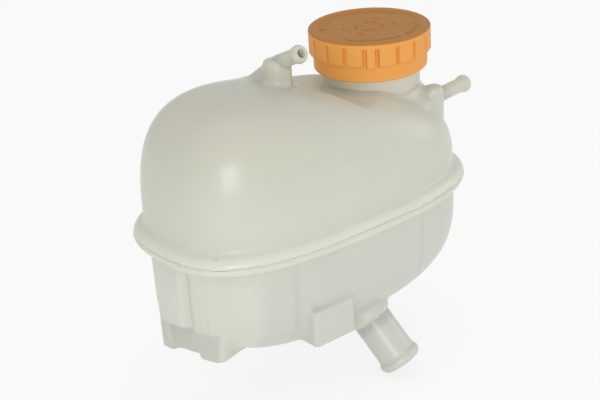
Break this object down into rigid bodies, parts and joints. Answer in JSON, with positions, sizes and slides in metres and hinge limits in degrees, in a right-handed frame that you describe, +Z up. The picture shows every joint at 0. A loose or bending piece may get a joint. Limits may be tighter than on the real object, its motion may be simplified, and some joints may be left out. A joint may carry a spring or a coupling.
{
  "type": "coolant expansion tank",
  "caption": "Two-shell welded coolant tank with a foot block, a side socket, hose stubs and a screw cap that holds a valve insert.",
  "frame": {"origin": "middle of the weld flange's outline, in the weld plane between the two shells", "axes": "+X along the tank towards the filler neck, +Y across it away from the side socket, +Z up to the cap"},
  "size_m": [0.2011, 0.1177, 0.1894],
  "materials": {
    "tank_plastic": "milky, satin",
    "cap_plastic": "satin",
    "valve_plastic": "satin",
    "seal_rubber": "matte",
    "spring_steel": "bright"
  },
  "bodies": {
    "tank": {"upper_shell": "tank_plastic", "filler_neck": "tank_plastic", "lower_shell": "tank_plastic", "outlet_stub": "tank_plastic"},
    "insert": {"valve_housing": "valve_plastic", "neck_seal": "seal_rubber", "spring_cover": "valve_plastic", "pressure_spring": "spring_steel"},
    "cap": {"cap_shell": "cap_plastic"},
    "pressure": {"pressure_valve": "valve_plastic", "pressure_seal": "seal_rubber", "vacuum_spring": "spring_steel"},
    "vacuum": {"vacuum_valve": "spring_steel", "spring_clip": "spring_steel"}
  },
  "joints": [
    {"name": "cap_lift", "type": "slide", "parent": "tank", "child": "insert", "axis": [0, 0, 1], "range_m": [0, 0.0121]},
    {"name": "cap_turn", "type": "hinge", "parent": "insert", "child": "cap", "pos_m": [0.0525, 0, 0.073], "axis": [0, 0, 1], "range_deg": [0, 720]},
    {"name": "pressure_lift", "type": "slide", "parent": "insert", "child": "pressure", "axis": [0, 0, 1], "range_m": [0, 0.002], "stiffness_N_per_m": 200, "springref_m": -0.003, "deforming": ["pressure_spring"]},
    {"name": "vacuum_drop", "type": "slide", "parent": "pressure", "child": "vacuum", "axis": [0, 0, -1], "range_m": [0, 0.001], "stiffness_N_per_m": 40, "springref_m": -0.0015, "deforming": ["vacuum_spring"]}
  ],
  "couplings": [
    {"joint": "cap_lift", "follows": "cap_turn", "m_per_rad": 0.00095493}
  ]
}
